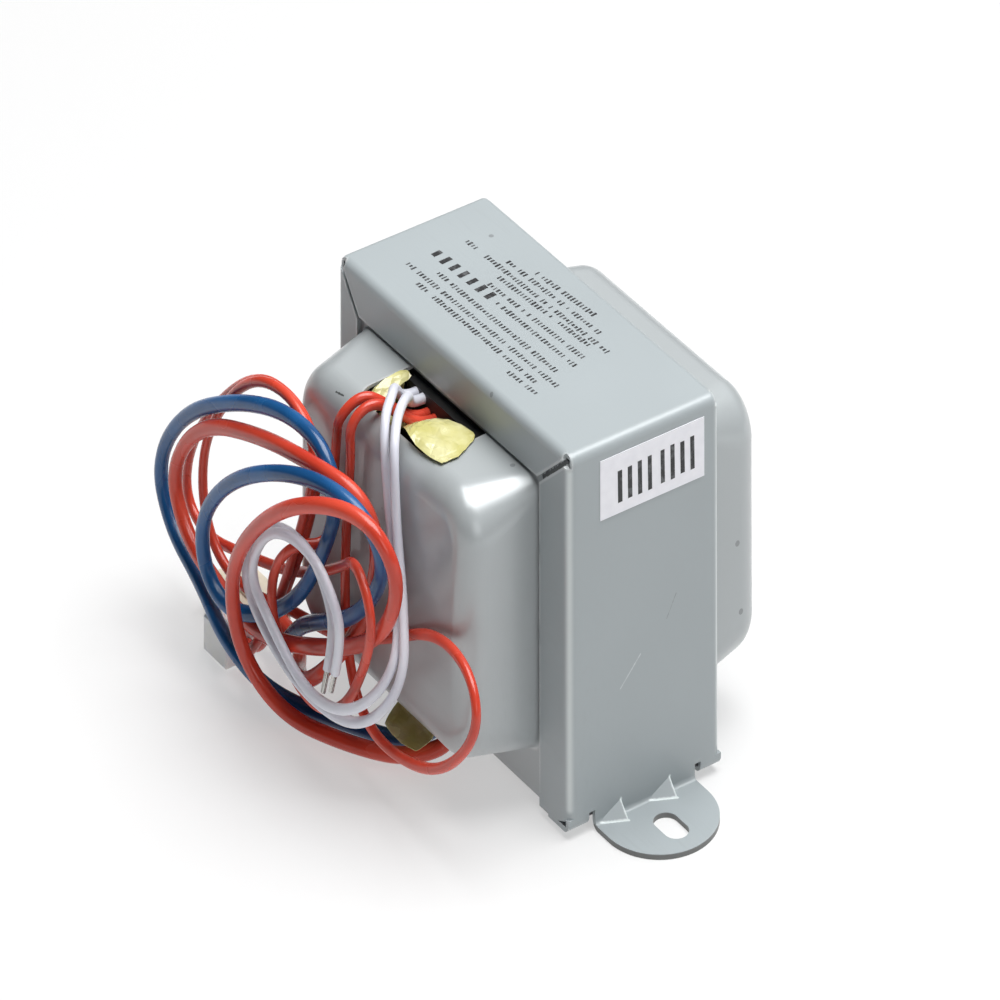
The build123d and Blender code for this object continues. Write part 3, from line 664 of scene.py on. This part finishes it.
# The creases' noise would otherwise take its seed from the clock
noise.seed_set(TAPE_SEED)
bent_sheet("left_tape_end", [
    [(-11.8, -16.7, 45.8), (-11.7, -16.7, 50.0), (-10.8, -16.5, 50.4), (-9.9, -16.4, 50.0)],
    [(-11.8, -18.6, 45.8), (-11.8, -18.6, 50.2), (-10.8, -18.4, 50.5), (-9.9, -18.2, 49.5)],
    [(-11.8, -20.6, 45.8), (-11.7, -20.6, 50.1), (-10.6, -20.8, 50.2), (-9.4, -21.0, 48.9)],
    [(-11.7, -22.6, 45.8), (-11.5, -22.8, 49.6), (-10.2, -23.2, 49.4), (-8.8, -23.4, 48.3)],
    [(-11.5, -24.4, 45.8), (-11.0, -24.8, 48.6), (-9.8, -25.2, 48.4), (-8.6, -25.2, 47.6)],
], 2, 0.3, "left_tape")
bent_sheet("right_tape_end", [
    [(-10.5, -20.8, 46.0), (-7.5, -20.6, 46.2), (-4.5, -20.5, 46.5), (-1.2, -20.4, 47.6), (1.7, -19.3, 49.9),
     (5.2, -18.2, 50.7), (9.3, -17.2, 50.6), (10.6, -18.2, 50.4)],
    [(-10.4, -22.4, 46.2), (-7.4, -22.3, 46.4), (-4.4, -22.2, 46.8), (-1.0, -22.0, 48.2), (2.0, -21.4, 50.6),
     (5.6, -20.8, 51.2), (9.6, -19.8, 50.6), (11.6, -20.4, 50.3)],
    [(-10.3, -24.0, 46.2), (-7.3, -24.0, 46.6), (-4.2, -23.9, 47.1), (-0.6, -23.2, 48.9), (2.6, -23.4, 51.2),
     (6.2, -23.2, 50.9), (9.9, -22.4, 50.9), (12.4, -22.4, 50.3)],
    [(-10.2, -25.0, 46.2), (-7.2, -25.2, 46.7), (-4.0, -25.2, 47.3), (-0.4, -24.2, 49.4), (3.2, -25.2, 51.3),
     (6.2, -25.2, 51.0), (9.8, -24.6, 50.5), (12.3, -24.2, 50.2)],
    [(-10.0, -25.8, 46.3), (-7.1, -26.0, 46.8), (-3.8, -26.0, 47.5), (0.2, -25.2, 49.9), (4.2, -26.6, 51.0),
     (6.2, -26.6, 50.4), (9.6, -26.2, 50.1), (12.2, -25.5, 50.1)],
], 3, 0.16, "right_tape")
bent_sheet("lower_tape_end", [
    [(-3.1, -22.9, 12.9), (0.2, -22.9, 12.9), (3.6, -22.9, 12.9), (6.8, -22.9, 12.9)],
    [(-3.1, -22.9, 9.0), (0.2, -22.8, 9.0), (3.6, -22.9, 9.0), (6.9, -22.9, 9.0)],
    [(-3.2, -23.0, 6.4), (0.2, -23.1, 6.2), (3.7, -23.2, 6.1), (7.1, -23.2, 6.0)],
    [(-3.0, -24.6, 5.4), (0.4, -24.9, 5.2), (3.9, -25.1, 5.1), (7.4, -25.0, 5.1)],
    [(-2.0, -26.4, 5.2), (1.0, -26.8, 5.0), (4.2, -26.9, 5.0), (7.6, -26.6, 5.1)],
    [(-0.6, -28.0, 5.2), (1.8, -28.3, 5.0), (4.6, -28.3, 4.9), (7.8, -27.6, 5.1)],
], 2, 0.15, "lower_tape")


# Leads
def laid_lead(name, diameter, route, finish):
    """One lead as a smooth curve with its route's points, in millimetres, as its control points."""
    curve = bpy.data.curves.new(name + "_wire", "CURVE")
    curve.dimensions = "3D"
    curve.resolution_u = 10
    curve.bevel_depth = diameter * MM / 2
    curve.bevel_resolution = 4
    curve.use_fill_caps = True
    line = curve.splines.new("NURBS")
    line.points.add(len(route) - 1)
    for point, (x, y, z) in zip(line.points, route):
        point.co = (x * MM, (y + LEAD_SHIFT) * MM, z * MM, 1.0)
    line.order_u = 3
    line.use_endpoint_u = True
    curve.materials.append(finish)
    piece = bpy.data.objects.new(name + "_wire", curve)
    bpy.context.scene.collection.objects.link(piece)
    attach(piece, "root")
    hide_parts(name)
    return piece


laid_lead("orange_primary_lead", THICK_LEAD, [
    (8.5, -18.5, 13.05), (8.5, -18.5, 4.5), (5, -26, 2), (-4, -32.5, 2), (-16.5, -38, 2.5),
    (-24, -42, 11.5), (-22, -44, 26.5), (-4.5, -45, 43), (12.5, -41, 48.5), (19, -37.5, 40),
    (11, -36.2, 26), (-7, -36.6, 16.5), (-23.5, -37.3, 10.5), (-36, -37, 12), (-47, -36.5, 14.5),
    (-52, -36.5, 23), (-43, -36, 34), (-24, -36.5, 41), (-6.5, -37.4, 45), (2.5, -34.7, 44),
    (4.5, -32.3, 37), (2, -31.8, 28), (-1.5, -33, 19.5), (-11, -35, 9), (-21.5, -31, 3.2),
    (-30, -24.52, 2.6), (-38, -24.52, 2.6),
], orange_finish)
laid_lead("blue_primary_lead", THICK_LEAD, [
    (4.5, -18.5, 13.05), (4.5, -18.5, 4.5), (1.5, -25, 2.5), (-7.5, -30, 2.5), (-20.5, -37, 3),
    (-31.5, -38.8, 6.5), (-43, -36, 9), (-54, -35, 12), (-58.5, -35, 20.5), (-50, -35, 32),
    (-33.5, -35, 41.5), (-19, -34.7, 46.5), (-8.5, -34.1, 45.5), (-4.5, -34.4, 38.5), (-7.5, -35.5, 30),
    (-14, -35.7, 20.5), (-22, -37.7, 14.5), (-30, -39.8, 12.5), (-36, -40.5, 17), (-35, -41, 26),
    (-23.5, -41.5, 37), (-5.5, -40.5, 45.5), (8, -38, 45.5), (12, -35.4, 37), (2.5, -35.6, 25),
    (-16.5, -33.3, 15), (-24.5, -31.5, 7), (-30.5, -28.48, 2.6), (-38, -28.48, 2.6),
], blue_finish)
laid_lead("orange_ring_lead", THIN_LEAD, [
    (-5.2, -15.9, 46.6), (-5.2, -18.8, 46.6), (-6.6, -22.8, 49.4), (-8, -27, 52), (-9.4, -31, 49),
    (-11.5, -30, 44.5), (-12.5, -30, 36), (-10, -32, 29.5), (-12.5, -38.5, 30.5), (-18, -39, 23),
    (-15, -39.6, 14.5), (-8.5, -37, 7), (1, -36.7, 11), (10.5, -38.6, 24), (12.5, -39, 32), (6, -38, 37),
    (-4, -34.2, 29.5), (-23.5, -29.6, 17.5), (-39, -29.6, 13), (-52, -29.8, 10), (-58.5, -29.8, 15),
    (-53, -30, 27.5), (-36.5, -30, 43), (-22.5, -30.5, 45.5), (-15, -30.5, 40), (-17, -32, 28),
    (-23.5, -32.5, 15), (-27.5, -32.75, 7.5), (-31.5, -32.75, 2.8), (-36, -32.75, 2.8),
], orange_finish)
laid_lead("orange_hanging_lead", THIN_LEAD, [
    (-3.2, -15.9, 46.6), (-3.2, -18.8, 46.6), (-4.6, -22.8, 49.4), (-5.4, -27, 52), (-6.2, -31, 49.5),
    (-6.5, -30.5, 44), (-7.5, -30.5, 36), (-8.2, -30.5, 27), (-7, -31.2, 17), (-1.5, -32.5, 9),
    (9, -33.5, 7.5), (24, -33.5, 11.5), (34.5, -33, 22.5), (30, -31.5, 29.5), (17.5, -30, 29),
    (3, -29.6, 20.5), (-11.5, -29.5, 13.5), (-25, -29.8, 11.5), (-36, -31, 9), (-44.5, -32, 11),
    (-49.5, -32, 18.5), (-47.5, -32, 30), (-34, -32.3, 44.5), (-21, -32, 47), (-13, -32.5, 41.5),
    (-16.5, -34, 28.5), (-22, -34.4, 15.5), (-26.5, -34.8, 8.5), (-31, -35.25, 2.8), (-36, -35.25, 2.8),
], orange_finish)
WHITE_OUTER = [
    (-8.6, -15.9, 48.2), (-8.6, -18.8, 48.2), (-6.8, -21.6, 51.8), (-2.5, -25, 53.6), (0.8, -28.8, 53),
    (3.5, -30.5, 48.5), (4.5, -30, 38), (8, -30.7, 29), (12.5, -34.5, 21.5), (9, -40.5, 15.5),
    (-2, -42, 13.5), (-13, -42.2, 19.5), (-20.5, -41.7, 24), (-15, -41, 33), (-3, -40.7, 35),
    (5, -40.7, 29.5), (6, -41, 24.5), (4.5, -41, 20)]
WHITE_INNER = [
    (-6.6, -15.9, 48.2), (-6.6, -18.6, 48.2), (-4, -20.6, 51.4), (-0.5, -24.2, 53.2), (3, -28, 53),
    (6.5, -30.8, 49.5), (7, -30.5, 39), (10.5, -31.5, 30), (14.5, -34, 20.5), (9, -38.5, 12.5),
    (-3.5, -40.5, 11.5), (-16, -41.8, 17), (-24.5, -40.5, 22.5), (-18, -39, 32), (-6, -38.7, 33),
    (0, -38.8, 27.5), (2.2, -39.8, 23.5), (1.7, -40.6, 19)]


# Bare ends of the white leads
def twisted_strands_tree():
    """Tinned strands twisted round each other along +Z."""
    tree, given, out = geometry_tree("twisted_strands", {
        "Length": ("NodeSocketFloat", 0.0035), "Lay Radius": ("NodeSocketFloat", 0.00032),
        "Strand Radius": ("NodeSocketFloat", 0.00018), "Turns": ("NodeSocketFloat", 0.8),
        "Strands": ("NodeSocketInt", 6)})
    narrowed = maths(tree, "MULTIPLY", given["Lay Radius"], 0.8)
    strand = add(tree, "GeometryNodeCurveSpiral", {
        "Resolution": 24, "Rotations": given["Turns"], "Start Radius": given["Lay Radius"],
        "End Radius": narrowed, "Height": given["Length"]}).outputs[0]
    spots = add(tree, "GeometryNodePoints", {"Count": given["Strands"]}).outputs[0]
    step = maths(tree, "DIVIDE", math.tau, given["Strands"])
    angle = maths(tree, "MULTIPLY", add(tree, "GeometryNodeInputIndex").outputs[0], step)
    turned = add(tree, "FunctionNodeEulerToRotation", {
        0: add(tree, "ShaderNodeCombineXYZ", {"Z": angle}).outputs[0]}).outputs[0]
    ring = add(tree, "GeometryNodeInstanceOnPoints", {
        "Points": spots, "Instance": strand, "Rotation": turned}).outputs[0]
    lines = add(tree, "GeometryNodeRealizeInstances", {"Geometry": ring}).outputs[0]
    core = add(tree, "GeometryNodeCurvePrimitiveLine", {
        "End": add(tree, "ShaderNodeCombineXYZ", {"Z": given["Length"]}).outputs[0]}).outputs[0]
    joined = tree.nodes.new("GeometryNodeJoinGeometry")
    for part in (lines, core):
        tree.links.new(part, joined.inputs[0])
    wire = add(tree, "GeometryNodeCurvePrimitiveCircle", {
        "Resolution": 8, "Radius": given["Strand Radius"]}).outputs[0]
    solid = add(tree, "GeometryNodeCurveToMesh", {
        "Curve": joined.outputs[0], "Profile Curve": wire, "Fill Caps": True}).outputs[0]
    finished(tree, given, out, solid)
    return tree


twisted_strands = twisted_strands_tree()
for lead_name, route, length in (("white_outer", WHITE_OUTER, 132), ("white_inner", WHITE_INNER, 137)):
    before, end = (Vector((x, y + LEAD_SHIFT, z)) * MM for x, y, z in route[-2:])
    strands = grown(lead_name + "_strands", outlined(lead_name + "_seat", [(0, 0, 0)], []), twisted_strands,
                    length=BARE_LENGTH * MM, lay_radius=STRAND_LAY * MM, strand_radius=STRAND_RADIUS * MM,
                    turns=STRAND_TURNS, strands=STRAND_COUNT, finish=tinned_finish)
    turned = (end - before).to_track_quat("Z", "Y").to_matrix().to_4x4()
    strands.transform(Matrix.Translation(end) @ turned)
    bare_end = fitted(lead_name + "_strands", strands, "tinned_wire", lead_name + "_tip")
    laid_lead(lead_name + "_lead", THIN_LEAD, route, white_finish)


# Floor, light and camera
def pale_floor():
    """A wide pale floor that glows a little, so that it stays light under the part."""
    reach = 3.0
    corners = [(-reach, -reach, 0), (reach, -reach, 0), (reach, reach, 0), (-reach, reach, 0)]
    mesh = bpy.data.meshes.new("pale_floor")
    mesh.from_pydata(corners, [], [(0, 1, 2, 3)])
    floor_finish = material("pale_floor")[0]
    shader = floor_finish.node_tree.nodes["Principled BSDF"]
    shader.inputs["Base Color"].default_value = (0.36, 0.36, 0.36, 1)
    shader.inputs["Roughness"].default_value = 0.8
    shader.inputs["Emission Color"].default_value = (1, 1, 1, 1)
    shader.inputs["Emission Strength"].default_value = 0.48
    mesh.materials.append(floor_finish)
    floor = bpy.data.objects.new("pale_floor", mesh)
    bpy.context.scene.collection.objects.link(floor)


def studio_light():
    """A surround that is brighter above and to the right, and three soft lights that face the part."""
    world = bpy.data.worlds.new("studio_surround")
    world.use_nodes = True
    tree = world.node_tree
    direction = add(tree, "ShaderNodeTexCoord").outputs["Generated"]
    towards = vectors(tree, "DOT_PRODUCT", direction, (0.5, 0.35, 0.79), "Value")
    tree.links.new(graded(tree, towards, -0.2, 1.0, 0.02, 0.35), tree.nodes["Background"].inputs["Strength"])
    bpy.context.scene.world = world
    middle_of_part = Vector((0, 0, 0.03))
    for name, place, size, power in (
            ("top_softbox", Vector((0.1, 0.15, 0.9)), 0.8, 15.5),
            ("back_softbox", Vector((-0.6, 0.55, 0.6)), 0.6, 0.5),
            ("right_softbox", Vector((0.85, -0.25, 0.4)), 0.4, 1.0)):
        light = bpy.data.lights.new(name, "AREA")
        light.shape = "SQUARE"
        light.size = size
        light.energy = power
        lamp = bpy.data.objects.new(name, light)
        lamp.location = place
        lamp.rotation_euler = (place - middle_of_part).to_track_quat("Z", "Y").to_euler()
        bpy.context.scene.collection.objects.link(lamp)


def photo_camera():
    """The photograph's camera. The picture is stretched upright by a quarter, and a camera whose up axis
    leans towards its view axis repeats that: the upright direction then counts 1 / cos(lean) on the image."""
    azimuth = math.radians(55.14)
    elevation = math.radians(30.18)
    lean = math.acos(0.8)
    place = Vector((1.4744, -1.0324, 1.0770))
    level = math.cos(elevation)
    right = Vector((math.cos(azimuth), math.sin(azimuth), 0))
    back = Vector((math.sin(azimuth) * level, -math.cos(azimuth) * level, math.sin(elevation)))
    leaned = math.cos(lean) * back.cross(right) + math.sin(lean) * back
    lens = bpy.data.cameras.new("photo_camera")
    lens.sensor_width = 36.0
    lens.lens = 450.4
    lens.clip_end = 20.0
    camera = bpy.data.objects.new("photo_camera", lens)
    stand = bpy.data.objects.new("camera_stand", None)
    bpy.context.scene.collection.objects.link(stand)
    bpy.context.scene.collection.objects.link(camera)
    camera.parent = stand
    camera.matrix_parent_inverse = Matrix((
        (right.x, leaned.x, back.x, place.x),
        (right.y, leaned.y, back.y, place.y),
        (right.z, leaned.z, back.z, place.z),
        (0, 0, 0, 1)))
    bpy.context.scene.camera = camera


pale_floor()
studio_light()
photo_camera()
bpy.context.scene.view_settings.view_transform = "Standard"
bpy.context.view_layer.update()
